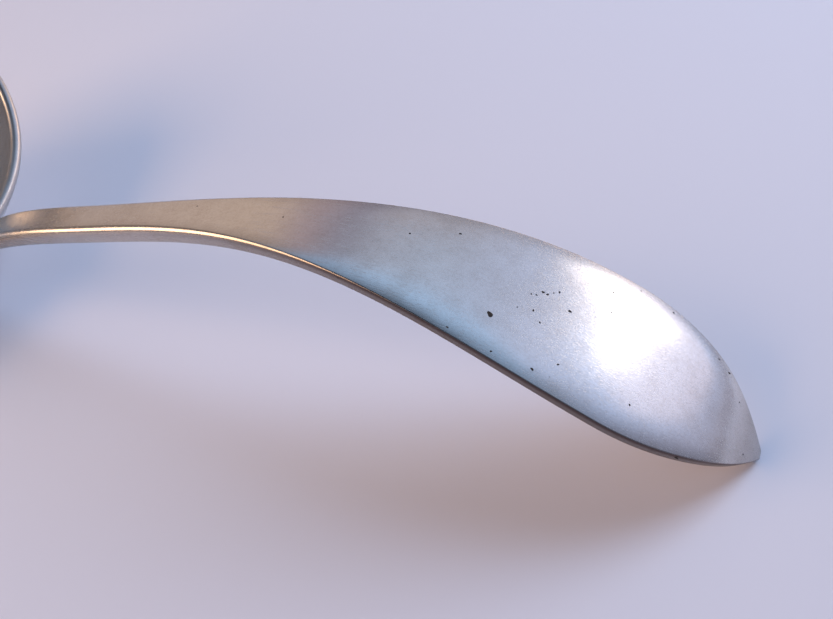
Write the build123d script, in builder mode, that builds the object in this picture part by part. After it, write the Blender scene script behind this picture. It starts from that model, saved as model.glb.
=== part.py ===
from build123d import *

import os
from math import atan2, cos, degrees, pi, radians, sin, sqrt

# A small silver sauce ladle, lying as it is laid down on a table: on the underside of its
# round bowl and on the pointed tip of its handle.
#
# Frame: millimetres, +Z up, the table is Z = 0, +X runs along the ladle towards the tip of
# the handle, and the ladle is symmetric about the XZ plane. The origin is under the middle
# of the ladle's length.

# Bowl: raised from sheet, round, with a wide bottom curve that turns up into tighter sides
rim_radius = 28.0
bowl_depth = 23.6
side_radius = 20.0
wall = 0.9
lip_thickness = 1.5
lip_height = 1.6
lip_rounding = 0.5
lip_blend_angle = 7
bowl_tilt = 33.7

# Handle: forged bar, a narrow stem that widens to a pointed blade
tip_to_rim_centre = 118.1
blade_half_width = 9.0
blade_widest_at = 18.0
tip_half_width = 0.6
stem_half_width = 2.5
stem_starts_at = 84.0
shoulder_power = 3.4
blade_edge = 0.9
stem_edge = 2.0
edge_grows_from = 34.0
edge_grows_to = 78.0
blade_crown = 0.25
blade_back_crown = 0.35
stem_back_crown = 0.55

# The line of the handle's top edges, seen from the side: distances back from the tip, heights
side_line = [
    (0.0, 0.57),
    (3.6, 4.8),
    (9.8, 9.3),
    (21.9, 15.7),
    (35.4, 20.0),
    (47.6, 21.2),
    (62.6, 19.6),
    (74.3, 17.1),
    (86.0, 14.2),
]
rim_sink = 0.4

# Tongue: the end of the handle, bent to lap the outside of the bowl
tongue_length = 12.0
tongue_half_width = 4.2
tongue_edge = 1.1
tongue_bite = 1.1

# Hard solder between the tongue and the bowl
solder_film = 0.2
solder_margin = 0.45

# Sections that the handle is lofted through
blade_sections = 8
stem_sections = 22
tongue_sections = 5

tilt = radians(bowl_tilt)
side_centre = rim_radius - side_radius
bottom_radius = (side_centre**2 + bowl_depth**2 - side_radius**2) / (2 * (bowl_depth - side_radius))
side_angle = degrees(atan2(bottom_radius - bowl_depth, side_centre))
rim_centre_height = bottom_radius - (bottom_radius - bowl_depth) * cos(tilt)
length = tip_to_rim_centre + side_centre * cos(tilt) + side_radius
tip_x = length / 2
rim_centre_x = tip_x - tip_to_rim_centre
mouth = Vector(sin(tilt), 0, cos(tilt))
to_handle = Vector(cos(tilt), 0, -sin(tilt))
rim_centre = Vector(rim_centre_x, 0, rim_centre_height)
bowl_axis = Axis(rim_centre, mouth)
bottom_centre = (0, bowl_depth - bottom_radius)
bowl_plane = Plane(origin=rim_centre, x_dir=to_handle, z_dir=(0, 1, 0))


def wall_point(depth, outward=0.0):
    """A point beside the bowl's outside, under the handle, at a depth below the rim."""
    radius = side_centre + sqrt(side_radius**2 - depth**2)
    return rim_centre + to_handle * (radius + outward) - mouth * depth


def half_width(distance):
    """Half the handle's width at a distance along it from the tip."""
    if distance < blade_widest_at:
        rise = blade_half_width - tip_half_width
        arc = (blade_widest_at**2 + rise**2) / (2 * rise)
        return blade_half_width - arc + sqrt(arc**2 - (blade_widest_at - distance) ** 2)
    if distance > stem_starts_at:
        return stem_half_width
    share = (distance - blade_widest_at) / (stem_starts_at - blade_widest_at)
    return stem_half_width + (blade_half_width - stem_half_width) * cos(pi / 2 * share) ** shoulder_power


def growth(distance):
    """0 in the blade, 1 in the stem, with a smooth step between."""
    share = (distance - edge_grows_from) / (edge_grows_to - edge_grows_from)
    share = min(max(share, 0), 1)
    return share * share * (3 - 2 * share)


# The spine: the side line, and then down the outside of the bowl, sinking into it
spine = Spline(
    *[Vector(tip_x - back, 0, height) for back, height in side_line],
    wall_point(0, -rim_sink),
    wall_point(tongue_length / 2, -tongue_bite / 2),
    wall_point(tongue_length, -tongue_bite),
)
handle_length = spine.length
rim_distance = handle_length - tongue_length


def outline(distance):
    """Half the width of the whole forging, with the drop-shaped tongue past the rim."""
    if distance < rim_distance:
        return half_width(distance)
    share = (distance - rim_distance) / tongue_length
    return stem_half_width + (tongue_half_width - stem_half_width) * sin(pi * share)


def edge_height(distance):
    """Height of the upright edges: low in the blade, high in the stem, lower again down the tongue."""
    if distance < rim_distance:
        return blade_edge + (stem_edge - blade_edge) * growth(distance)
    return stem_edge + (tongue_edge - stem_edge) * (distance - rim_distance) / tongue_length


def across(distance):
    """The plane square to the handle at a distance from the tip, its Y pointing out of the top face."""
    return Plane(
        origin=spine.position_at(distance, PositionMode.LENGTH),
        x_dir=(0, -1, 0),
        z_dir=spine.tangent_at(distance, PositionMode.LENGTH),
    )


def section(distance, margin=0.0):
    """The handle's section: a slightly crowned face, upright edges and a rounded back."""
    half = outline(distance) + margin
    edge = edge_height(distance) + margin
    crown = blade_crown * half / blade_half_width
    back = blade_back_crown + (stem_back_crown - blade_back_crown) * growth(distance)
    back = back * min(1, half / stem_half_width)
    with BuildSketch(across(distance)) as face:
        with BuildLine():
            ThreePointArc((-half, margin), (0, crown + margin), (half, margin))
            Line((half, margin), (half, -edge))
            ThreePointArc((half, -edge), (0, -edge - back), (-half, -edge))
            Line((-half, -edge), (-half, margin))
        make_face()
    return face.sketch


def spread(start, end, count):
    """Evenly spaced distances from start to end, both included."""
    return [start + (end - start) * step / (count - 1) for step in range(count)]


def bowl_profile(extra):
    """The quarter of the bowl's outside that is turned round its axis, grown by extra."""
    with BuildSketch(bowl_plane) as quarter:
        with BuildLine():
            side = CenterArc((side_centre, 0), side_radius + extra, 0, side_angle)
            bottom = CenterArc(bottom_centre, bottom_radius + extra, side_angle, 90 - side_angle)
            Line(bottom @ 1, (0, -lip_height))
            Line((0, -lip_height), (rim_radius + extra, -lip_height))
            Line((rim_radius + extra, -lip_height), side @ 0)
        make_face()
    return quarter.sketch


blade_stations = [blade_widest_at * (step / blade_sections) ** 1.6 for step in range(blade_sections)]
stem_stations = spread(blade_widest_at, rim_distance, stem_sections)
tongue_stations = spread(rim_distance, handle_length, tongue_sections)
lip_blend = radians(lip_blend_angle)
inner_radius = side_radius - wall

# Bowl
with BuildPart() as bowl:
    with BuildSketch(bowl_plane):
        with BuildLine():
            side = CenterArc((side_centre, 0), side_radius, 0, side_angle)
            bottom = CenterArc(bottom_centre, bottom_radius, side_angle, 90 - side_angle)
            Polyline(
                side @ 0,
                (rim_radius - lip_thickness, 0),
                (rim_radius - lip_thickness, lip_height),
                (side_centre + inner_radius * cos(lip_blend), inner_radius * sin(lip_blend)),
            )
            CenterArc((side_centre, 0), inner_radius, lip_blend_angle, side_angle - lip_blend_angle)
            inner_bottom = CenterArc(bottom_centre, bottom_radius - wall, side_angle, 90 - side_angle)
            Line(bottom @ 1, inner_bottom @ 1)
        make_face()
    revolve(axis=bowl_axis)
    fillet(bowl.edges().filter_by(GeomType.CIRCLE).group_by(bowl_axis)[-1], lip_rounding)
bowl.part.label = "bowl"

# Handle: the whole forging, its tongue trimmed to the bowl's outside
with BuildPart() as handle:
    loft(sections=[section(distance) for distance in blade_stations + stem_stations + tongue_stations[1:]])
    revolve(bowl_profile(solder_film), axis=bowl_axis, mode=Mode.SUBTRACT)
handle.part.label = "handle"

# Solder: the film that was run in between the tongue and the bowl, with a rim of it showing
with BuildPart() as solder:
    loft(sections=[section(distance, solder_margin) for distance in tongue_stations])
    revolve(bowl_profile(solder_film), axis=bowl_axis, mode=Mode.INTERSECT)
    revolve(bowl_profile(0), axis=bowl_axis, mode=Mode.SUBTRACT)
solder.part.label = "solder"

os.makedirs("parts", exist_ok=True)
export_step(bowl.part, "parts/bowl.step")
export_step(handle.part, "parts/handle.step")
export_step(solder.part, "parts/solder.step")
print("handle length", round(handle_length, 2), "ladle length", round(length, 2))
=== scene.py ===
import math

import bmesh
import bpy
import numpy as np
from bpy.props import FloatProperty, FloatVectorProperty, IntProperty, PointerProperty
from mathutils import Matrix, Vector


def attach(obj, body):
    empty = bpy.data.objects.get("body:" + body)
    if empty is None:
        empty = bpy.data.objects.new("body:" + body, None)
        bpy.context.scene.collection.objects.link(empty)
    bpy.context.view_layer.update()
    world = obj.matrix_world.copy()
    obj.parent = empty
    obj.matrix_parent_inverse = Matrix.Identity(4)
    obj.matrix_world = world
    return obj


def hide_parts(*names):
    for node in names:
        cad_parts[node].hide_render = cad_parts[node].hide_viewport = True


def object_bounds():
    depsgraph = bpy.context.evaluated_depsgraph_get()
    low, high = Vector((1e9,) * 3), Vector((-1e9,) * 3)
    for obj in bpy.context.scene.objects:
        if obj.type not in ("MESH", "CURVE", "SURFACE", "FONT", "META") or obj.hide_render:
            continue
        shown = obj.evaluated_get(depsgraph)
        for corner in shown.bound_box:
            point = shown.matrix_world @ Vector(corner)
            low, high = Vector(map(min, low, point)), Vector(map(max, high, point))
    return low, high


bl_info = {
    "name": "Silver sauce ladle",
    "version": (1, 0, 0),
    "blender": (4, 5, 0),
    "location": "View3D > Sidebar > Ladle",
    "description": "Builds a small worn silver sauce ladle, lying on a pale table",
    "category": "Add Mesh",
}

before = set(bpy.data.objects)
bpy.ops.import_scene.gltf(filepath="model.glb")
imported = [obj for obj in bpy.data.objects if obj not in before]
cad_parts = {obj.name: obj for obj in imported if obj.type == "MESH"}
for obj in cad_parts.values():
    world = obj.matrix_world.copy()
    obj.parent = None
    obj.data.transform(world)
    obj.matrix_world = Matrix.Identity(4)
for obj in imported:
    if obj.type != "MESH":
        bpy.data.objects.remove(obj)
CAD_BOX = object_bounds()
MM = 0.001

# ---------------------------------------------------------------- sizes shared by the pieces, in mm

RIM_RADIUS = 28.0
BOWL_DEPTH = 23.6
SIDE_RADIUS = 20.0
LIP_HEIGHT = 1.6
TILT = math.radians(33.7)
SIDE_CENTRE = RIM_RADIUS - SIDE_RADIUS
BOTTOM_RADIUS = (SIDE_CENTRE**2 + BOWL_DEPTH**2 - SIDE_RADIUS**2) / (2 * (BOWL_DEPTH - SIDE_RADIUS))
BOTTOM_LIFT = BOTTOM_RADIUS - BOWL_DEPTH
SIDE_ANGLE = math.atan2(BOTTOM_LIFT, SIDE_CENTRE)

TIP_X = (CAD_BOX[1].x - CAD_BOX[0].x) / MM / 2
RIM_X = CAD_BOX[0].x / MM + SIDE_RADIUS + SIDE_CENTRE * math.cos(TILT)
RIM_Z = BOTTOM_RADIUS - BOTTOM_LIFT * math.cos(TILT)
MOUTH = np.array([math.sin(TILT), 0.0, math.cos(TILT)])
TO_HANDLE = np.array([math.cos(TILT), 0.0, -math.sin(TILT)])
SIDEWAYS = np.array([0.0, 1.0, 0.0])
RIM_CENTRE = np.array([RIM_X, 0.0, RIM_Z])

# The line of the handle's top edges from the side: distances back from the tip, and heights
SIDE_LINE = [
    (0.0, 0.57),
    (3.6, 4.8),
    (9.8, 9.3),
    (21.9, 15.7),
    (35.4, 20.0),
    (47.6, 21.2),
    (62.6, 19.6),
    (74.3, 17.1),
    (86.0, 14.2),
]
BLADE_WIDEST_AT = 18.0
TIP_HALF = 0.6
STEM_HALF = 2.5
STEM_STARTS_AT = 84.0
SHOULDER_POWER = 3.4
BLADE_EDGE = 0.9
STEM_EDGE = 2.0
GROWS_FROM = 34.0
GROWS_TO = 78.0
TONGUE_LENGTH = 12.0
TONGUE_HALF = 4.2
TONGUE_EDGE = 1.1
TONGUE_BITE = 1.1
RIM_SINK = 0.4
BLADE_BACK_CROWN = 0.35
STEM_BACK_CROWN = 0.55

# Lower edges: their rounding in the blade and in the stem, and how far the stem's sides lean in
BLADE_BACK_ROUNDING = 0.08
STEM_BACK_ROUNDING = 0.33
STEM_UNDERCUT = 0.05
# The tip's rounded nose
NOSE_LENGTH = 0.12
NOSE_CROWN = 0.02
NOSE_BACK_CROWN = 0.1
NOSE_STEPS = 9
# How far the tongue's hidden side sinks into the bowl's wall, and how far before the rim that starts
TONGUE_SINK = 0.12
SINKS_FROM = 2.0

# Places worked out along the spine, and how far either side of a place its direction is taken
SPINE_SAMPLES = 4000
DIRECTION_REACH = 0.3

# Points round each part of the handle's section, and the power that crowds its sections to the tip
SHOULDER_STEPS = 7
HEEL_STEPS = 9
FACE_STEPS = 32
BACK_STEPS = 24
STATION_CROWDING = 1.15

# Points along each arc of the bowl's profile, and how far below the lip it blends into the wall
BOTTOM_STEPS = 40
SIDE_STEPS = 30
LIP_STEPS = 12
BLEND_STEPS = 9
LIP_BLEND = 1.4

# Solder fillet: its spread past the tongue, its rise against it, how far it reaches in under the
# tongue's edge, where it starts below the rim, how far it lies in the wall, and how it narrows
FILLET_MARGIN = 0.5
FILLET_RISE = 0.38
FILLET_UNDER = 0.25
FILLET_START = 0.4
FILLET_SINK = 0.03
FILLET_NARROWS = 0.8
FILLET_ROWS = 60
FILLET_COLUMNS = 24
TONGUE_END = TONGUE_LENGTH * 0.985

# ---------------------------------------------------------------- tarnish and painted shade on the handle and the lip, in mm

# Darkening of the side faces and the lip, 0 to 1: unpolished tarnish, and on the blade painted shade too
BLADE_TARNISH_AND_SHADE = 0.8
STEM_GRIME = 0.3
LIP_GRIME = 0.3
# Darkening of the face by the tip, tarnish and painted shade, and where that ends and how it fades, in mm
TIP_TARNISH_AND_SHADE = 0.42
TIP_SHADE_ENDS = 6.5
TIP_SHADE_FADES = 4.0
# Darkening at the upper edge, on the face and on the back, as shares of that on the side faces, and how
# far it creeps in on the face; at the upper edge and the face's rims it is painted shade, a dark reflected
# line
EDGE_PAINTED_SHADE = 1.3
FACE_TARNISH_AND_SHADE = 0.35
BACK_GRIME = 0.5
FACE_TARNISH_AND_SHADE_REACH = 1.8

# Corrosion pits on the face and nicks in the edges, as (distance from the tip, distance across, radius)
PITS = [
    (30.5, -3.7, 0.32),
    (33.5, -7.0, 0.12),
    (36.5, 4.5, 0.14),
    (29.0, -7.5, 0.12),
    (28.5, -1.5, 0.08),
    (27.0, -1.0, 0.13),
    (26.0, -2.0, 0.11),
    (25.0, -7.3, 0.16),
    (23.8, 1.0, 0.18),
    (23.0, -5.5, 0.12),
    (20.5, 6.0, 0.09),
    (20.0, 3.5, 0.09),
    (15.5, -5.5, 0.12),
    (14.0, 8.0, 0.12),
    (8.0, 6.0, 0.11),
    (6.5, 5.3, 0.16),
    (4.5, 3.0, 0.09),
    (2.5, -2.0, 0.11),
    (54.0, 0.5, 0.1),
]
NICKS = [(12.5, 8.6, 0.22), (9.7, -8.2, 0.36), (45.0, -5.6, 0.18)]
# A slanting string of small pits near the middle of the blade: its middle, half its run, how far the
# pits stray from it and how large they are
PIT_STRING_COUNT = 6
PIT_STRING_MIDDLE = (26.6, 1.7)
PIT_STRING_RUN = (-1.2, 0.9)
PIT_STRING_STRAY = 0.3
PIT_STRING_RADII = (0.08, 0.18)
PIT_STRING_SEED = 3
# A mark this near the edge sits on the side face: sunk in it, below the upper edge, and flattened
NICK_REACH = 0.25
NICK_SINK = 0.02
NICK_BELOW = 0.3
NICK_FLATNESS = 0.45
# Rings of a mark from the bottom up, as (share of its radius, height), and the points of each
MARK_RINGS = [(0.55, -0.07), (1.0, -0.03), (0.93, 0.004), (0.7, 0.012), (0.3, 0.016)]
MARK_POINTS = 14


def bowl_point(depth, outward=0.0):
    """A point beside the bowl's outside, under the handle, at a depth below the rim."""
    radius = SIDE_CENTRE + math.sqrt(SIDE_RADIUS**2 - depth**2)
    return RIM_CENTRE + TO_HANDLE * (radius + outward) - MOUTH * depth


def cubic_through(points):
    """A smooth curve through the points, as functions of the distance along it: place and direction."""
    points = np.array(points, float)
    knots = np.concatenate([[0.0], np.cumsum(np.linalg.norm(np.diff(points, axis=0), axis=1))])
    gaps = np.diff(knots)
    count = len(points)
    matrix = np.zeros((count, count))
    right = np.zeros((count, points.shape[1]))
    matrix[0, 0] = matrix[-1, -1] = 1.0
    for i in range(1, count - 1):
        matrix[i, i - 1 : i + 2] = gaps[i - 1], 2 * (gaps[i - 1] + gaps[i]), gaps[i]
        right[i] = 6 * ((points[i + 1] - points[i]) / gaps[i] - (points[i] - points[i - 1]) / gaps[i - 1])
    bends = np.linalg.solve(matrix, right)

    def at(knot):
        i = min(max(int(np.searchsorted(knots, knot) - 1), 0), count - 2)
        h, a, b = gaps[i], knots[i + 1] - knot, knot - knots[i]
        return (
            bends[i] * a**3 / (6 * h)
            + bends[i + 1] * b**3 / (6 * h)
            + (points[i] / h - bends[i] * h / 6) * a
            + (points[i + 1] / h - bends[i + 1] * h / 6) * b
        )

    fine = np.linspace(0, knots[-1], SPINE_SAMPLES)
    places = np.array([at(k) for k in fine])
    run = np.concatenate([[0.0], np.cumsum(np.linalg.norm(np.diff(places, axis=0), axis=1))])

    def place(distance):
        return np.array([np.interp(distance, run, places[:, axis]) for axis in range(3)])

    def direction(distance):
        ahead, behind = min(distance + DIRECTION_REACH, run[-1]), max(distance - DIRECTION_REACH, 0.0)
        step = place(ahead) - place(behind)
        return step / np.linalg.norm(step)

    return place, direction, run[-1]


SPINE_POINTS = [(TIP_X - back, 0.0, height) for back, height in SIDE_LINE] + [
    bowl_point(0, -RIM_SINK),
    bowl_point(TONGUE_LENGTH / 2, -TONGUE_BITE / 2),
    bowl_point(TONGUE_LENGTH, -TONGUE_BITE),
]
SPINE, SPINE_DIRECTION, HANDLE_LENGTH = cubic_through(SPINE_POINTS)
RIM_DISTANCE = HANDLE_LENGTH - TONGUE_LENGTH


# ---------------------------------------------------------------- settings a user would change


def linear(hex_colour):
    """An sRGB hex colour as linear RGBA."""
    channels = [int(hex_colour[i : i + 2], 16) / 255 for i in (1, 3, 5)]
    return tuple(c / 12.92 if c <= 0.04045 else ((c + 0.055) / 1.055) ** 2.4 for c in channels) + (1.0,)


LENGTH = {"subtype": "DISTANCE", "unit": "LENGTH", "precision": 5}
COLOUR = {"subtype": "COLOR", "size": 4, "min": 0.0, "max": 1.0}
ANGLE = {"subtype": "ANGLE", "unit": "ROTATION"}


class LadleShape(bpy.types.PropertyGroup):
    """Sizes of the ladle's details."""

    blade_half: FloatProperty(
        name="Blade half width", description="Half the width of the blade", default=9.0 * MM, **LENGTH
    )
    blade_crown: FloatProperty(
        name="Blade crown", description="Rise of the blade's face from its edges", default=0.3 * MM, **LENGTH
    )
    edge_rounding: FloatProperty(
        name="Edge rounding", description="Wear on the blade's upper edges", default=0.13 * MM, **LENGTH
    )
    stem_rounding: FloatProperty(
        name="Stem rounding", description="Wear on the stem's upper edges", default=0.75 * MM, **LENGTH
    )
    wall: FloatProperty(name="Wall", description="Thickness of the bowl's wall", default=0.9 * MM, **LENGTH)
    lip: FloatProperty(name="Lip", description="Thickness of the bowl's lip", default=1.5 * MM, **LENGTH)
    stations: IntProperty(name="Stations", description="Sections along the handle", default=420, min=80)
    turns: IntProperty(name="Facets", description="Segments round the bowl", default=224, min=32)


class LadleFinish(bpy.types.PropertyGroup):
    """Colours of the worn silver."""

    silver: FloatVectorProperty(
        name="Silver", description="Clean sterling silver", default=linear("#f0ede9"), **COLOUR
    )
    tarnish: FloatVectorProperty(
        name="Tarnish", description="Thin yellow-grey tarnish", default=linear("#c4b8ad"), **COLOUR
    )
    # This brown is both tarnish and painted shade: it darkens the blade's sides, upper edges and tip
    grime: FloatVectorProperty(
        name="Grime",
        description="Brown tarnish that polishing doesn't reach",
        default=linear("#5d504d"),
        **COLOUR,
    )
    solder: FloatVectorProperty(
        name="Solder", description="Hard silver solder, a little yellow", default=linear("#d6ccb8"), **COLOUR
    )
    sulphide: FloatVectorProperty(
        name="Sulphide", description="Black silver sulphide in the pits", default=linear("#1a1613"), **COLOUR
    )


class LadleStage(bpy.types.PropertyGroup):
    """The table, the lights and the camera."""

    table: FloatVectorProperty(
        name="Table", description="Colour of the pale table", default=linear("#e2dfe6"), **COLOUR
    )
    window: FloatVectorProperty(
        name="Window", description="Colour of the window", default=linear("#fff8f2"), **COLOUR
    )
    sky: FloatVectorProperty(
        name="Sky light",
        description="Colour of the two lights that fill the shadows",
        default=linear("#c3dcff"),
        **COLOUR,
    )
    glow: FloatVectorProperty(
        name="Glow",
        description="Colour of the soft halo round the window",
        default=linear("#ffd2ae"),
        **COLOUR,
    )
    lamp: FloatVectorProperty(
        name="Lamp", description="Colour of the two warm lights", default=linear("#ffd2a4"), **COLOUR
    )
    camera_place: FloatVectorProperty(
        name="Camera place",
        description="Where the camera stands",
        subtype="TRANSLATION",
        unit="LENGTH",
        default=(0.0737, -0.0641, 0.0823),
    )
    camera_heading: FloatProperty(
        name="Heading", description="Turn of the camera about Z", default=math.radians(29.37), **ANGLE
    )
    camera_pitch: FloatProperty(
        name="Pitch", description="How far down the camera looks", default=math.radians(43.7), **ANGLE
    )
    camera_roll: FloatProperty(
        name="Roll", description="Roll of the camera", default=math.radians(-10.6), **ANGLE
    )
    lens: FloatProperty(
        name="Lens", description="Focal length on a 36 mm sensor", default=43.2, unit="CAMERA"
    )


# ---------------------------------------------------------------- materials


def add(tree, kind, settings=None, links=None):
    """Adds a node, sets its properties and sockets, and links other nodes' outputs to its inputs."""
    node = tree.nodes.new(kind)
    for name, value in (settings or {}).items():
        if isinstance(name, str) and hasattr(node, name):
            setattr(node, name, value)
        else:
            node.inputs[name].default_value = value
    for name, source in (links or {}).items():
        tree.links.new(source, node.inputs[name])
    return node


def empty_material(name):
    """A material without nodes, and its node tree."""
    material = bpy.data.materials.new(name)
    material.use_nodes = True
    material.node_tree.nodes.clear()
    return material, material.node_tree


# Sizes of the patterns in the worn silver, in mm. The grain and the scratches are drawn about ten
# times as coarse as real ones, which wouldn't show
CLOUD_SIZE = 11
MOTTLE_SIZE = 1.7
GRAIN_SIZE = 0.25
HAMMER_SIZE = 6
PIT_SPACING = 1.2
PIT_RADIUS = 0.108
CRUMB_SIZE = 0.08
# The most that each of them moves the surface, in mm
HAMMER_DEPTH = 0.012
MOTTLE_DEPTH = 0.0016
GRAIN_DEPTH = 0.0018
SCRATCH_DEPTH = 0.0012
CRUMB_DEPTH = 0.01
# Hand-rubbed scratches as (turn about Z in degrees, spacing and length in mm)
SCRATCHES = [(14, 0.17, 6.0), (-38, 0.2, 4.0), (68, 0.16, 2.5)]
# Roughness of each piece where it is clean
FORGED_ROUGHNESS = 0.16
RAISED_ROUGHNESS = 0.28
SOLDER_ROUGHNESS = 0.3


def worn_silver(name, silver, finish, roughness):
    """Sterling silver, hammered to shape, polished, and then used and rubbed clean for many years.

    To the eye: a bright metal whose reflections are spread by crossing scratches, broken by cloudy
    duller patches and faint hammer marks, with brown tarnish where a cloth doesn't reach, painted
    shade along the handle's edges and by its tip, and small black pits.
    """
    material, tree = empty_material(name)
    place = add(tree, "ShaderNodeTexCoord").outputs["Object"]

    # Cloudy patches, a finer mottle and a satin grain
    clouds = add(
        tree,
        "ShaderNodeTexNoise",
        {"Scale": 1 / (CLOUD_SIZE * MM), "Detail": 4.0, "Roughness": 0.6, "Distortion": 0.6},
        {"Vector": place},
    )
    mottle = add(
        tree,
        "ShaderNodeTexNoise",
        {"Scale": 1 / (MOTTLE_SIZE * MM), "Detail": 5.0, "Roughness": 0.7},
        {"Vector": place},
    )
    grain = add(
        tree,
        "ShaderNodeTexNoise",
        {"Scale": 1 / (GRAIN_SIZE * MM), "Detail": 4.0, "Roughness": 0.75},
        {"Vector": place},
    )
    cloudy = add(
        tree, "ShaderNodeMapRange", {"From Min": 0.42, "From Max": 0.66}, {"Value": clouds.outputs["Fac"]}
    )
    mottled = add(
        tree, "ShaderNodeMapRange", {"From Min": 0.42, "From Max": 0.7}, {"Value": mottle.outputs["Fac"]}
    )

    # Three sets of crossing scratches: the brightest lines of stretched noise
    scratched = None
    for turn, spacing, length in SCRATCHES:
        turned = add(
            tree,
            "ShaderNodeMapping",
            {"Rotation": (0, 0, math.radians(turn)), "Scale": (spacing / length, 1, 1)},
            {"Vector": place},
        )
        lines = add(
            tree,
            "ShaderNodeTexNoise",
            {"Scale": 1 / (spacing * MM), "Detail": 1.0, "Distortion": 0.15},
            {"Vector": turned.outputs["Vector"]},
        )
        sharp = add(
            tree, "ShaderNodeMapRange", {"From Min": 0.6, "From Max": 0.74}, {"Value": lines.outputs["Fac"]}
        )
        if scratched:
            sharp = add(
                tree,
                "ShaderNodeMath",
                {"operation": "MAXIMUM"},
                {0: scratched, 1: sharp.outputs["Result"]},
            )
        scratched = sharp.outputs[0]

    # Small pits, in one or two of every hundred cells
    cells = add(tree, "ShaderNodeTexVoronoi", {"Scale": 1 / (PIT_SPACING * MM)}, {"Vector": place})
    chosen = add(
        tree,
        "ShaderNodeMapRange",
        {"From Min": 0.9, "From Max": 0.91, "To Max": PIT_RADIUS / PIT_SPACING},
        {"Value": cells.outputs["Color"]},
    )
    pitted = add(
        tree,
        "ShaderNodeMath",
        {"operation": "LESS_THAN"},
        {0: cells.outputs["Distance"], 1: chosen.outputs["Result"]},
    )

    # Colour: silver, then thin tarnish in the clouds, then the mesh's tarnish and painted shade, then the
    # pits
    grainy = add(
        tree, "ShaderNodeMapRange", {"From Min": 0.45, "From Max": 0.75}, {"Value": grain.outputs["Fac"]}
    )
    blotches = add(tree, "ShaderNodeMath", {"operation": "MULTIPLY", 1: 0.2}, {0: mottled.outputs["Result"]})
    speckle = add(
        tree,
        "ShaderNodeMath",
        {"operation": "MULTIPLY_ADD", 1: 0.35},
        {0: grainy.outputs["Result"], 2: blotches.outputs[0]},
    )
    thin = add(
        tree,
        "ShaderNodeMath",
        {"operation": "MULTIPLY_ADD", 1: 0.28},
        {0: cloudy.outputs["Result"], 2: speckle.outputs[0]},
    )
    dulled = add(
        tree,
        "ShaderNodeMix",
        {"data_type": "RGBA", 6: silver, 7: finish.tarnish},
        {0: thin.outputs[0]},
    )
    # Mask from the mesh: tarnish, and painted shade on the handle's sides, upper edges and tip
    tarnish_and_shade_mask = add(tree, "ShaderNodeAttribute", {"attribute_name": "grime"})
    tarnished_and_shaded = add(
        tree,
        "ShaderNodeMix",
        {"data_type": "RGBA", 7: finish.grime},
        {0: tarnish_and_shade_mask.outputs["Fac"], 6: dulled.outputs[2]},
    )
    blackened = add(
        tree,
        "ShaderNodeMix",
        {"data_type": "RGBA", 7: finish.sulphide},
        {0: pitted.outputs[0], 6: tarnished_and_shaded.outputs[2]},
    )

    # Roughness: more in the clouds, in the scratches and under the tarnish and painted shade
    hazy = add(
        tree,
        "ShaderNodeMath",
        {"operation": "MULTIPLY_ADD", 1: 0.06, 2: roughness},
        {0: cloudy.outputs["Result"]},
    )
    rubbed = add(
        tree,
        "ShaderNodeMath",
        {"operation": "MULTIPLY_ADD", 1: 0.1},
        {0: scratched, 2: hazy.outputs[0]},
    )
    dirty = add(
        tree,
        "ShaderNodeMath",
        {"operation": "MULTIPLY_ADD", 1: 0.14},
        {0: tarnish_and_shade_mask.outputs["Fac"], 2: rubbed.outputs[0]},
    )

    # Height: hammer marks, mottle and grain, with the scratches cut into them
    hammered = add(
        tree, "ShaderNodeTexNoise", {"Scale": 1 / (HAMMER_SIZE * MM), "Detail": 1.0}, {"Vector": place}
    )
    facets = add(
        tree,
        "ShaderNodeMath",
        {"operation": "MULTIPLY", 1: HAMMER_DEPTH * MM},
        {0: hammered.outputs["Fac"]},
    )
    grained = add(
        tree,
        "ShaderNodeMath",
        {"operation": "MULTIPLY_ADD", 1: MOTTLE_DEPTH * MM},
        {0: mottle.outputs["Fac"], 2: facets.outputs[0]},
    )
    satin = add(
        tree,
        "ShaderNodeMath",
        {"operation": "MULTIPLY_ADD", 1: GRAIN_DEPTH * MM},
        {0: grain.outputs["Fac"], 2: grained.outputs[0]},
    )
    grooved = add(
        tree,
        "ShaderNodeMath",
        {"operation": "MULTIPLY_ADD", 1: -SCRATCH_DEPTH * MM},
        {0: scratched, 2: satin.outputs[0]},
    )
    bump = add(tree, "ShaderNodeBump", {"Distance": 1.0}, {"Height": grooved.outputs[0]})
    shader = add(
        tree,
        "ShaderNodeBsdfPrincipled",
        {"Metallic": 1.0},
        {
            "Base Color": blackened.outputs[2],
            "Roughness": dirty.outputs[0],
            "Normal": bump.outputs["Normal"],
        },
    )
    add(tree, "ShaderNodeOutputMaterial", links={"Surface": shader.outputs["BSDF"]})
    return material


def packed_sulphide(name, colour):
    """Silver sulphide packed in corrosion pits: matt, crumbly and nearly black."""
    material, tree = empty_material(name)
    place = add(tree, "ShaderNodeTexCoord").outputs["Object"]
    crumbs = add(
        tree,
        "ShaderNodeTexNoise",
        {"Scale": 1 / (CRUMB_SIZE * MM), "Detail": 3.0},
        {"Vector": place},
    )
    shade = add(
        tree,
        "ShaderNodeMix",
        {"data_type": "RGBA", 6: colour, 7: linear("#40352c")},
        {0: crumbs.outputs["Fac"]},
    )
    bump = add(tree, "ShaderNodeBump", {"Distance": CRUMB_DEPTH * MM}, {"Height": crumbs.outputs["Fac"]})
    shader = add(
        tree,
        "ShaderNodeBsdfPrincipled",
        {"Roughness": 0.7},
        {"Base Color": shade.outputs[2], "Normal": bump.outputs["Normal"]},
    )
    add(tree, "ShaderNodeOutputMaterial", links={"Surface": shader.outputs["BSDF"]})
    return material


def table_top(name, colour):
    """Plain matt painted board: pale and even."""
    material = bpy.data.materials.new(name)
    material.use_nodes = True
    shader = material.node_tree.nodes["Principled BSDF"]
    shader.inputs["Base Color"].default_value = colour
    shader.inputs["Roughness"].default_value = 0.85
    return material


# ---------------------------------------------------------------- mesh helpers


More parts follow.
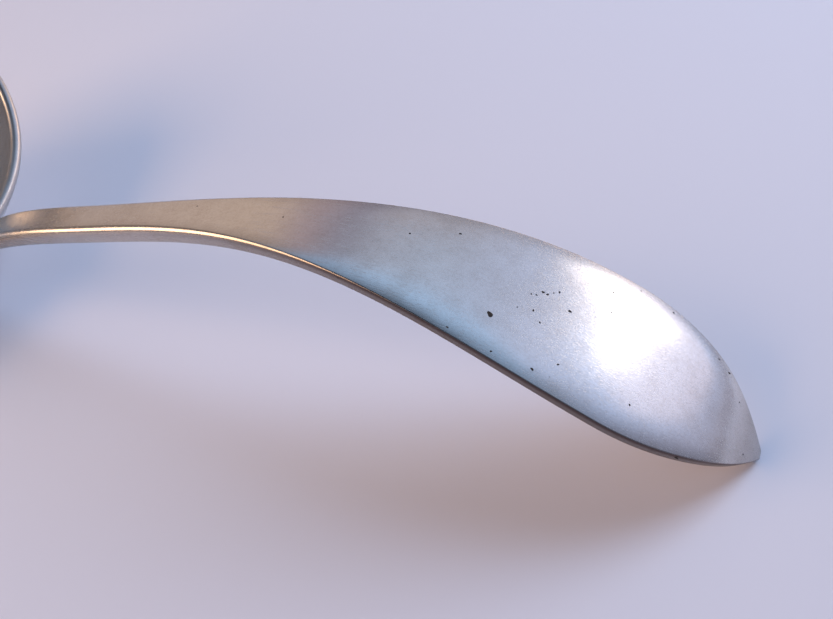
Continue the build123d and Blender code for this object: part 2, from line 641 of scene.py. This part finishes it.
def grid_mesh(name, rows, closed_rows=True, caps=False, grime=None):
    """A mesh from rows of points in mm, each row a ring if closed_rows, joined row to row.

    grime gives, from 0 to 1 for each point of each row, tarnish that polishing doesn't reach and painted
    shade.
    """
    made = bmesh.new()
    layer = made.verts.layers.float.new("grime")
    rings = [[made.verts.new(Vector(point) * MM) for point in row] for row in rows]
    for ring, amounts in zip(rings, grime or []):
        for vert, amount in zip(ring, amounts):
            vert[layer] = amount
    count = len(rings[0])
    last = count if closed_rows else count - 1
    for below, above in zip(rings, rings[1:]):
        for i in range(last):
            j = (i + 1) % count
            made.faces.new((below[i], below[j], above[j], above[i]))
    if caps:
        for ring in (rings[0][::-1], rings[-1]):
            centre = made.verts.new(sum((v.co for v in ring), Vector()) / count)
            centre[layer] = ring[0][layer]
            for i in range(count):
                made.faces.new((ring[i], ring[(i + 1) % count], centre))
    bmesh.ops.remove_doubles(made, verts=made.verts, dist=1e-7)
    bmesh.ops.recalc_face_normals(made, faces=made.faces)
    mesh = bpy.data.meshes.new(name)
    made.to_mesh(mesh)
    made.free()
    mesh.shade_smooth()
    return mesh


def add_piece(name, mesh, material, node):
    """Puts a finished mesh in the scene as a piece, in place of a CAD node if it stands for one."""
    piece = bpy.data.objects.new(name, mesh)
    bpy.context.scene.collection.objects.link(piece)
    piece.data.materials.append(material)
    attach(piece, "root")
    if node:
        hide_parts(node)


def growth(distance):
    """0 in the blade, 1 in the stem, with a smooth step between."""
    share = min(max((distance - GROWS_FROM) / (GROWS_TO - GROWS_FROM), 0.0), 1.0)
    return share * share * (3 - 2 * share)


def handle_half(distance, blade_half):
    """Half the handle's width at a distance along it from the tip."""
    if distance < BLADE_WIDEST_AT:
        rise = blade_half - TIP_HALF
        arc = (BLADE_WIDEST_AT**2 + rise**2) / (2 * rise)
        return blade_half - arc + math.sqrt(arc**2 - (BLADE_WIDEST_AT - distance) ** 2)
    if distance < STEM_STARTS_AT:
        share = (distance - BLADE_WIDEST_AT) / (STEM_STARTS_AT - BLADE_WIDEST_AT)
        return STEM_HALF + (blade_half - STEM_HALF) * math.cos(math.pi / 2 * share) ** SHOULDER_POWER
    if distance < RIM_DISTANCE:
        return STEM_HALF
    share = (distance - RIM_DISTANCE) / TONGUE_LENGTH
    return STEM_HALF + (TONGUE_HALF - STEM_HALF) * math.sin(math.pi * share)


def handle_edge(distance):
    """Height of the side faces: low in the blade, high in the stem, lower again down the tongue."""
    if distance < RIM_DISTANCE:
        return BLADE_EDGE + (STEM_EDGE - BLADE_EDGE) * growth(distance)
    return STEM_EDGE + (TONGUE_EDGE - STEM_EDGE) * (distance - RIM_DISTANCE) / TONGUE_LENGTH


def face_height(share, crown):
    """Height of the top face at a share of the half width: level in the middle, falling to the edges."""
    return crown * (1 - abs(share) ** 5)


def handle_section(half, edge, crown, back, round_top, round_back, undercut, side_tarnish_and_shade):
    """The handle's section, going round from the left of the face, as (across, up, tarnish and painted
    shade).

    The roundings shrink where the section is too narrow or too thin for them.
    """
    top = min(round_top, half * 0.45, edge * 0.45)
    low = min(round_back, half * 0.6, edge * 0.5)
    foot = half - undercut
    shoulder = face_height((half - top) / half, crown)
    right = []
    # Upper edge's rounding and corner: painted shade, a dark reflection line darker than the side faces
    for step in range(SHOULDER_STEPS):
        angle = math.pi / 2 * (1 - step / SHOULDER_STEPS)
        across = half - top + top * math.cos(angle)
        up = -top + (top + shoulder) * math.sin(angle)
        right.append((across, up, side_tarnish_and_shade * (0.5 + 0.9 * math.cos(angle))))
    right.append((half, -top, side_tarnish_and_shade * EDGE_PAINTED_SHADE))
    right.append(((half + foot) / 2, (-top - edge + low) / 2, side_tarnish_and_shade))
    right.append((foot, -edge + low, side_tarnish_and_shade))
    for step in range(1, HEEL_STEPS + 1):
        angle = math.pi / 2 * step / HEEL_STEPS
        across = foot - low + low * math.cos(angle)
        right.append((across, -edge + low - low * math.sin(angle), side_tarnish_and_shade))
    face = []
    for step in range(FACE_STEPS + 1):
        share = math.sin(math.pi / 2 * (2 * step / FACE_STEPS - 1))
        across = (half - top) * share
        # Near the face's edges: tarnish and painted shade, darkening that creeps in from the edges
        rim = max(0.0, 1 - (half - abs(across)) / FACE_TARNISH_AND_SHADE_REACH)
        face.append((across, face_height(across / half, crown), FACE_TARNISH_AND_SHADE * side_tarnish_and_shade * rim))
    under = []
    for step in range(BACK_STEPS + 1):
        share = math.sin(math.pi / 2 * (1 - 2 * step / BACK_STEPS))
        under.append(((foot - low) * share, -edge - back * (1 - share**2), BACK_GRIME * side_tarnish_and_shade))
    left = [(-across, up, amount) for across, up, amount in reversed(right)]
    return face + right[1:] + under[1:-1] + left[:-1]


def keep_off_bowl(point, sink):
    """Moves a point that lies deep in the bowl's wall out to just under the bowl's outside."""
    offset = point - RIM_CENTRE
    depth = -float(offset @ MOUTH)
    if depth < 0:
        return point
    spread = offset + MOUTH * depth
    radius = float(np.linalg.norm(spread))
    centre, limit = (SIDE_CENTRE, 0.0), SIDE_RADIUS - sink
    if math.atan2(depth + BOTTOM_LIFT, radius) > SIDE_ANGLE:
        centre, limit = (0.0, -BOTTOM_LIFT), BOTTOM_RADIUS - sink
    away = math.hypot(radius - centre[0], depth - centre[1])
    if away >= limit:
        return point
    new_radius = centre[0] + (radius - centre[0]) * limit / away
    new_depth = centre[1] + (depth - centre[1]) * limit / away
    return RIM_CENTRE + spread / radius * new_radius - MOUTH * new_depth


def face_frame(distance):
    """Place and the across and up directions of the handle at a distance from the tip."""
    along = SPINE_DIRECTION(distance)
    up = np.cross(SIDEWAYS, along)
    return SPINE(distance), SIDEWAYS, up if up[2] > 0 else -up


def bowl_outside(run):
    """Radius, depth and lean of the bowl's outside at a distance run down it from the rim."""
    lean = run / SIDE_RADIUS
    if lean <= SIDE_ANGLE:
        return SIDE_CENTRE + SIDE_RADIUS * math.cos(lean), SIDE_RADIUS * math.sin(lean), lean
    lean = SIDE_ANGLE + (run - SIDE_ANGLE * SIDE_RADIUS) / BOTTOM_RADIUS
    return BOTTOM_RADIUS * math.cos(lean), BOTTOM_RADIUS * math.sin(lean) - BOTTOM_LIFT, lean


def arc(centre, radius, start, end, steps):
    """Points of the bowl's profile along an arc, both ends included, as (radius, depth)."""
    angles = np.linspace(start, end, steps + 1)
    return [(centre[0] + radius * math.cos(a), centre[1] + radius * math.sin(a)) for a in angles]


# ---------------------------------------------------------------- operators


class LADLE_OT_handle(bpy.types.Operator):
    """Forges the handle: blade, stem and the tongue that laps the bowl"""

    bl_idname = "ladle.handle"
    bl_label = "Handle"

    def execute(self, context):
        shape, finish = context.scene.ladle_shape, context.scene.ladle_finish
        blade_half = shape.blade_half / MM
        edge_rounding, stem_rounding = shape.edge_rounding / MM, shape.stem_rounding / MM
        rows, grime = [], []
        # The nose: the tip's section, which grows from a point along a quarter of an ellipse
        place, across, up = face_frame(0.0)
        forward = -SPINE_DIRECTION(0.0) * NOSE_LENGTH
        middle = -BLADE_EDGE / 2
        section = handle_section(
            TIP_HALF,
            BLADE_EDGE,
            NOSE_CROWN,
            NOSE_BACK_CROWN,
            edge_rounding,
            BLADE_BACK_ROUNDING,
            0.0,
            BLADE_TARNISH_AND_SHADE,
        )
        for step in range(NOSE_STEPS):
            reach = math.cos(math.pi / 2 * (step / NOSE_STEPS))
            scale = math.sqrt(1 - reach**2)
            start = place + forward * reach
            rows.append(
                [start + across * a * scale + up * (middle + (h - middle) * scale) for a, h, _ in section]
            )
            grime.append([amount for _, _, amount in section])
        for step in range(shape.stations + 1):
            distance = HANDLE_LENGTH * (step / shape.stations) ** STATION_CROWDING
            place, across, up = face_frame(distance)
            half = handle_half(distance, blade_half)
            thick = growth(distance)
            back_crown = BLADE_BACK_CROWN + (STEM_BACK_CROWN - BLADE_BACK_CROWN) * thick
            section = handle_section(
                half,
                handle_edge(distance),
                shape.blade_crown / MM * half / blade_half,
                back_crown * min(1.0, half / STEM_HALF),
                edge_rounding + (stem_rounding - edge_rounding) * thick,
                BLADE_BACK_ROUNDING + (STEM_BACK_ROUNDING - BLADE_BACK_ROUNDING) * thick,
                STEM_UNDERCUT * thick,
                BLADE_TARNISH_AND_SHADE + (STEM_GRIME - BLADE_TARNISH_AND_SHADE) * thick,
            )
            row = [place + across * a + up * h for a, h, _ in section]
            if distance > RIM_DISTANCE - SINKS_FROM:
                row = [keep_off_bowl(point, TONGUE_SINK) for point in row]
            rows.append(row)
            # By the tip: tarnish plus painted shade, darkening the face where it mirrors the shaded table
            tip = TIP_TARNISH_AND_SHADE * min(1.0, max(0.0, (TIP_SHADE_ENDS - distance) / TIP_SHADE_FADES))
            grime.append([max(amount, tip) for _, _, amount in section])
        mesh = grid_mesh("handle_forging", rows, caps=True, grime=grime)
        material = worn_silver("forged_sterling_silver", finish.silver, finish, FORGED_ROUGHNESS)
        add_piece("handle_forging", mesh, material, "handle")
        return {"FINISHED"}


class LADLE_OT_marks(bpy.types.Operator):
    """Sets black sulphide in the corrosion pits and nicks of the handle"""

    bl_idname = "ladle.marks"
    bl_label = "Pits and nicks"

    def execute(self, context):
        shape, finish = context.scene.ladle_shape, context.scene.ladle_finish
        blade_half = shape.blade_half / MM
        material = packed_sulphide("packed_silver_sulphide", finish.sulphide)
        merged = bmesh.new()
        chance = np.random.default_rng(PIT_STRING_SEED)
        shares = np.linspace(-1, 1, PIT_STRING_COUNT)
        radii = chance.uniform(*PIT_STRING_RADII, PIT_STRING_COUNT)
        string = []
        for share, radius in zip(shares, radii):
            stray = chance.uniform(-PIT_STRING_STRAY, PIT_STRING_STRAY)
            distance = PIT_STRING_MIDDLE[0] + PIT_STRING_RUN[0] * share
            string.append((distance, PIT_STRING_MIDDLE[1] + PIT_STRING_RUN[1] * share + stray, radius))
        for number, (distance, offset, radius) in enumerate(PITS + string + NICKS):
            place, across, up = face_frame(distance)
            half = handle_half(distance, blade_half)
            along = SPINE_DIRECTION(distance)
            crown = shape.blade_crown / MM * half / blade_half
            if abs(offset) < half - NICK_REACH:
                centre = place + across * offset + up * face_height(offset / half, crown)
                second, out = across, up
            else:
                side = math.copysign(1.0, offset)
                centre = place + across * side * (half - NICK_SINK) - up * NICK_BELOW
                second, out = up * NICK_FLATNESS, across * side
            rows = []
            for spread, lift in MARK_RINGS:
                ring = []
                for turn in range(MARK_POINTS):
                    angle = 2 * math.pi * turn / MARK_POINTS
                    ragged = 0.2 * math.sin(2 * angle + number) + 0.12 * math.sin(3 * angle + 2.1 * number)
                    reach = radius * spread * (1 + ragged)
                    outward = along * math.cos(angle) + second * math.sin(angle)
                    ring.append(centre + outward * reach + out * lift)
                rows.append(ring)
            mark = grid_mesh("mark", rows, caps=True)
            merged.from_mesh(mark)
            bpy.data.meshes.remove(mark)
        mesh = bpy.data.meshes.new("sulphide_marks")
        merged.to_mesh(mesh)
        merged.free()
        mesh.shade_smooth()
        add_piece("sulphide_marks", mesh, material, None)
        return {"FINISHED"}


class LADLE_OT_bowl(bpy.types.Operator):
    """Raises the bowl, with its thickened and rounded lip"""

    bl_idname = "ladle.bowl"
    bl_label = "Bowl"

    def execute(self, context):
        shape, finish = context.scene.ladle_shape, context.scene.ladle_finish
        wall, lip = shape.wall / MM, shape.lip / MM
        lip_round = lip / 2
        inner = SIDE_RADIUS - wall
        blend_depth = LIP_HEIGHT + LIP_BLEND
        lip_starts = math.asin(lip_round / SIDE_RADIUS)
        blend_ends = math.asin(blend_depth / inner)
        bottom, side = (0.0, -BOTTOM_LIFT), (SIDE_CENTRE, 0.0)
        lip_line = RIM_RADIUS - lip
        blend = []
        for share in np.linspace(0, 1, BLEND_STEPS + 1):
            ease = share * share * (3 - 2 * share)
            depth = lip_round + (blend_depth - lip_round) * share
            wall_line = SIDE_CENTRE + math.sqrt(inner**2 - depth**2)
            blend.append((lip_line + (wall_line - lip_line) * ease, depth))
        # Up the outside, round the lip and down the inside
        profile = arc(bottom, BOTTOM_RADIUS, math.pi / 2, SIDE_ANGLE, BOTTOM_STEPS)
        profile += arc(side, SIDE_RADIUS, SIDE_ANGLE, lip_starts, SIDE_STEPS)[1:]
        profile += arc((RIM_RADIUS - lip_round, lip_round), lip_round, 0.0, -math.pi, LIP_STEPS)[1:-1]
        profile += blend
        profile += arc(side, inner, blend_ends, SIDE_ANGLE, SIDE_STEPS)[1:]
        profile += arc(bottom, BOTTOM_RADIUS - wall, SIDE_ANGLE, math.pi / 2, BOTTOM_STEPS)[1:]
        outs = []
        for turn in range(shape.turns):
            angle = 2 * math.pi * turn / shape.turns
            outs.append(TO_HANDLE * math.cos(angle) + SIDEWAYS * math.sin(angle))
        # The ends of the profile stay just off the axis, and their points are merged there
        rows = [
            [RIM_CENTRE + out * max(radius, 1e-6) - MOUTH * depth for out in outs]
            for radius, depth in profile
        ]
        grime = [[LIP_GRIME if depth < LIP_HEIGHT else 0.0] * shape.turns for _, depth in profile]
        mesh = grid_mesh("bowl_shell", rows, grime=grime)
        material = worn_silver("raised_sterling_silver", finish.silver, finish, RAISED_ROUGHNESS)
        add_piece("bowl_shell", mesh, material, "bowl")
        return {"FINISHED"}


class LADLE_OT_solder(bpy.types.Operator):
    """Runs the solder round the tongue: a thin fillet on the bowl"""

    bl_idname = "ladle.solder"
    bl_label = "Solder"

    def execute(self, context):
        finish = context.scene.ladle_finish
        blade_half = context.scene.ladle_shape.blade_half / MM
        rows = []
        for run in np.linspace(FILLET_START, TONGUE_END + FILLET_MARGIN, FILLET_ROWS + 1):
            radius, depth, lean = bowl_outside(run)
            half = handle_half(RIM_DISTANCE + min(run, TONGUE_LENGTH), blade_half)
            past = max(0.0, run - TONGUE_END) / FILLET_MARGIN
            row = []
            for share in np.linspace(-1, 1, 2 * FILLET_COLUMNS + 1):
                across = share * (half + FILLET_MARGIN * (1 - past * FILLET_NARROWS))
                beyond = (abs(across) - half + FILLET_UNDER) / (FILLET_MARGIN + FILLET_UNDER)
                lift = FILLET_RISE * (1 - min(max(0.0, beyond, past), 1.0)) ** 2 - FILLET_SINK
                turn = across / radius
                out = TO_HANDLE * math.cos(turn) + SIDEWAYS * math.sin(turn)
                normal = out * math.cos(lean) - MOUTH * math.sin(lean)
                row.append(RIM_CENTRE + out * radius - MOUTH * depth + normal * lift)
            rows.append(row)
        mesh = grid_mesh("solder_fillet", rows, closed_rows=False)
        material = worn_silver("hard_silver_solder", finish.solder, finish, SOLDER_ROUGHNESS)
        add_piece("solder_fillet", mesh, material, "solder")
        return {"FINISHED"}


# Colours of the room's walls, from the side behind the bowl, -1, to the side of the tip, 1
ROOM_WALLS = [
    (-0.85, "#bfaaa0"),
    (-0.55, "#c3aea2"),
    (-0.42, "#a4939a"),
    (-0.3, "#8c899b"),
    (-0.17, "#b1afbd"),
    (0.0, "#b0b2c4"),
    (0.2, "#b6c0de"),
    (0.38, "#c9d6fa"),
    (0.6, "#c0d4ff"),
    (0.78, "#adb2d0"),
]
# Tints up the room, as (sine of the elevation where it starts, where it is full, colour, share)
ROOM_LEVELS = [
    (0.72, 0.81, "#aed3ff", 0.85),
    (0.86, 0.96, "#2b2f3c", 1.0),
    (0.25, 0.05, "#9a96a6", 0.7),
]


# The room's near side turns to this tint between two directions along Y, and dims to a share of its
# strength between two others
NEAR_TINT = "#b9c8ea"
NEAR_TINT_STARTS, NEAR_TINT_FULL = 0.2, -0.3
NEAR_DIM = 0.45
NEAR_DIM_FULL, NEAR_DIM_STARTS = 0.25, 0.66

# Half the table's side in mm, and the place the lights are aimed at, the middle of the blade, in m
TABLE_HALF = 4000
LIGHTS_AIM = (0.055, 0.0, 0.012)
# Soft lights as (name, colour's name in the stage, watts, size in m, azimuth and elevation in
# degrees, distance in m, whether the metal mirrors it). The last two only lighten the table
LIGHTS = [
    ("window", "window", 0.125, (0.145, 0.112), 59, 27, 0.55, True),
    ("glow", "glow", 0.05, (0.24, 0.2), 54, 23, 0.55, True),
    ("back", "lamp", 0.2, (0.26, 0.1), 84, 9, 0.5, True),
    ("lamp", "lamp", 1.75, (0.34, 0.3), 210, 29, 0.55, True),
    ("day", "sky", 1.2, (0.3, 0.3), 60, 48, 0.5, False),
    ("dusk", "sky", 0.45, (0.3, 0.3), 58, 28, 0.5, False),
]


class LADLE_OT_stage(bpy.types.Operator):
    """Sets the table, the soft lights, the room and the camera"""

    bl_idname = "ladle.stage"
    bl_label = "Stage"

    def execute(self, context):
        stage = context.scene.ladle_stage
        floor_rows = [[(x, y, 0) for x in (-TABLE_HALF, TABLE_HALF)] for y in (-TABLE_HALF, TABLE_HALF)]
        floor = bpy.data.objects.new("table", grid_mesh("table", floor_rows, closed_rows=False))
        floor.data.materials.append(table_top("pale_table", stage.table))
        context.scene.collection.objects.link(floor)
        for name, colour, power, size, azimuth, elevation, away, mirrored in LIGHTS:
            light = self.soft_light(name, getattr(stage, colour), power, size, azimuth, elevation, away)
            light.visible_glossy = mirrored
        self.room(context.scene)
        camera = bpy.data.objects.new("camera", bpy.data.cameras.new("camera"))
        context.scene.collection.objects.link(camera)
        camera.data.sensor_width = 36.0
        camera.data.lens = stage.lens
        camera.data.clip_start = 0.005
        camera.data.dof.use_dof = False
        turn = (
            Matrix.Rotation(stage.camera_heading, 4, "Z")
            @ Matrix.Rotation(math.pi / 2 - stage.camera_pitch, 4, "X")
            @ Matrix.Rotation(stage.camera_roll, 4, "Z")
        )
        camera.matrix_world = Matrix.Translation(stage.camera_place) @ turn
        context.scene.camera = camera
        context.scene.view_settings.view_transform = "Standard"
        return {"FINISHED"}

    @staticmethod
    def soft_light(name, colour, power, size, azimuth, elevation, away):
        """A rectangular soft light, aimed at the middle of the blade."""
        a, e = math.radians(azimuth), math.radians(elevation)
        direction = Vector((math.cos(e) * math.cos(a), math.cos(e) * math.sin(a), math.sin(e)))
        data = bpy.data.lights.new(name, "AREA")
        data.shape = "RECTANGLE"
        data.size, data.size_y = size
        data.energy = power
        data.color = colour[:3]
        light = bpy.data.objects.new(name, data)
        bpy.context.scene.collection.objects.link(light)
        light.location = Vector(LIGHTS_AIM) + direction * away
        light.rotation_mode = "QUATERNION"
        light.rotation_quaternion = direction.to_track_quat("Z", "Y")
        return light

    @staticmethod
    def room(scene):
        """The soft surrounding that the metal mirrors.

        Its walls go from warm to cool, its ceiling is blue with a dark middle, and its near side
        is cool and dim.
        """
        world = bpy.data.worlds.new("soft_room")
        world.use_nodes = True
        tree = world.node_tree
        tree.nodes.clear()
        direction = add(tree, "ShaderNodeTexCoord").outputs["Generated"]
        parts = add(tree, "ShaderNodeSeparateXYZ", links={"Vector": direction}).outputs
        across = add(
            tree, "ShaderNodeMapRange", {"From Min": -1.0, "From Max": 1.0}, {"Value": parts["X"]}
        )
        walls = add(tree, "ShaderNodeValToRGB", links={"Fac": across.outputs["Result"]})
        ramp = walls.color_ramp
        ramp.interpolation = "EASE"
        ramp.elements.remove(ramp.elements[1])
        for place, colour in ROOM_WALLS:
            stop = ramp.elements.new((place + 1) / 2)
            stop.color = linear(colour)
        ramp.elements.remove(ramp.elements[0])
        nearer = add(
            tree,
            "ShaderNodeMapRange",
            {
                "interpolation_type": "SMOOTHSTEP",
                "From Min": NEAR_TINT_STARTS,
                "From Max": NEAR_TINT_FULL,
            },
            {"Value": parts["Y"]},
        )
        cooled = add(
            tree,
            "ShaderNodeMix",
            {"data_type": "RGBA", 7: linear(NEAR_TINT)},
            {0: nearer.outputs["Result"], 6: walls.outputs["Color"]},
        )
        colour = cooled.outputs[2]
        for start, end, tint, share in ROOM_LEVELS:
            level = add(
                tree,
                "ShaderNodeMapRange",
                {"interpolation_type": "SMOOTHSTEP", "From Min": start, "From Max": end, "To Max": share},
                {"Value": parts["Z"]},
            )
            tinted = add(
                tree,
                "ShaderNodeMix",
                {"data_type": "RGBA", 7: linear(tint)},
                {0: level.outputs["Result"], 6: colour},
            )
            colour = tinted.outputs[2]
        near = add(
            tree,
            "ShaderNodeMapRange",
            {
                "interpolation_type": "SMOOTHSTEP",
                "From Min": NEAR_DIM_FULL,
                "From Max": NEAR_DIM_STARTS,
                "To Min": NEAR_DIM,
            },
            {"Value": parts["Y"]},
        )
        shell = add(
            tree,
            "ShaderNodeBackground",
            links={"Color": colour, "Strength": near.outputs["Result"]},
        )
        add(tree, "ShaderNodeOutputWorld", links={"Surface": shell.outputs["Background"]})
        scene.world = world


class LADLE_PT_panel(bpy.types.Panel):
    """Lists the ladle's pieces and the stage"""

    bl_idname = "LADLE_PT_panel"
    bl_label = "Silver sauce ladle"
    bl_space_type = "VIEW_3D"
    bl_region_type = "UI"
    bl_category = "Ladle"

    def draw(self, context):
        layout = self.layout
        for group in (context.scene.ladle_shape, context.scene.ladle_finish, context.scene.ladle_stage):
            box = layout.box()
            for name in group.bl_rna.properties.keys():
                if name not in ("rna_type", "name"):
                    box.prop(group, name)
        for operator in OPERATORS:
            layout.operator(operator.bl_idname)


OPERATORS = (LADLE_OT_handle, LADLE_OT_marks, LADLE_OT_bowl, LADLE_OT_solder, LADLE_OT_stage)
CLASSES = (LadleShape, LadleFinish, LadleStage, *OPERATORS, LADLE_PT_panel)


def register():
    for cls in CLASSES:
        bpy.utils.register_class(cls)
    bpy.types.Scene.ladle_shape = PointerProperty(type=LadleShape)
    bpy.types.Scene.ladle_finish = PointerProperty(type=LadleFinish)
    bpy.types.Scene.ladle_stage = PointerProperty(type=LadleStage)


def unregister():
    del bpy.types.Scene.ladle_stage
    del bpy.types.Scene.ladle_finish
    del bpy.types.Scene.ladle_shape
    for cls in reversed(CLASSES):
        bpy.utils.unregister_class(cls)


def main():
    register()
    bpy.ops.ladle.handle()
    bpy.ops.ladle.marks()
    bpy.ops.ladle.bowl()
    bpy.ops.ladle.solder()
    bpy.ops.ladle.stage()


if __name__ == "__main__":
    main()
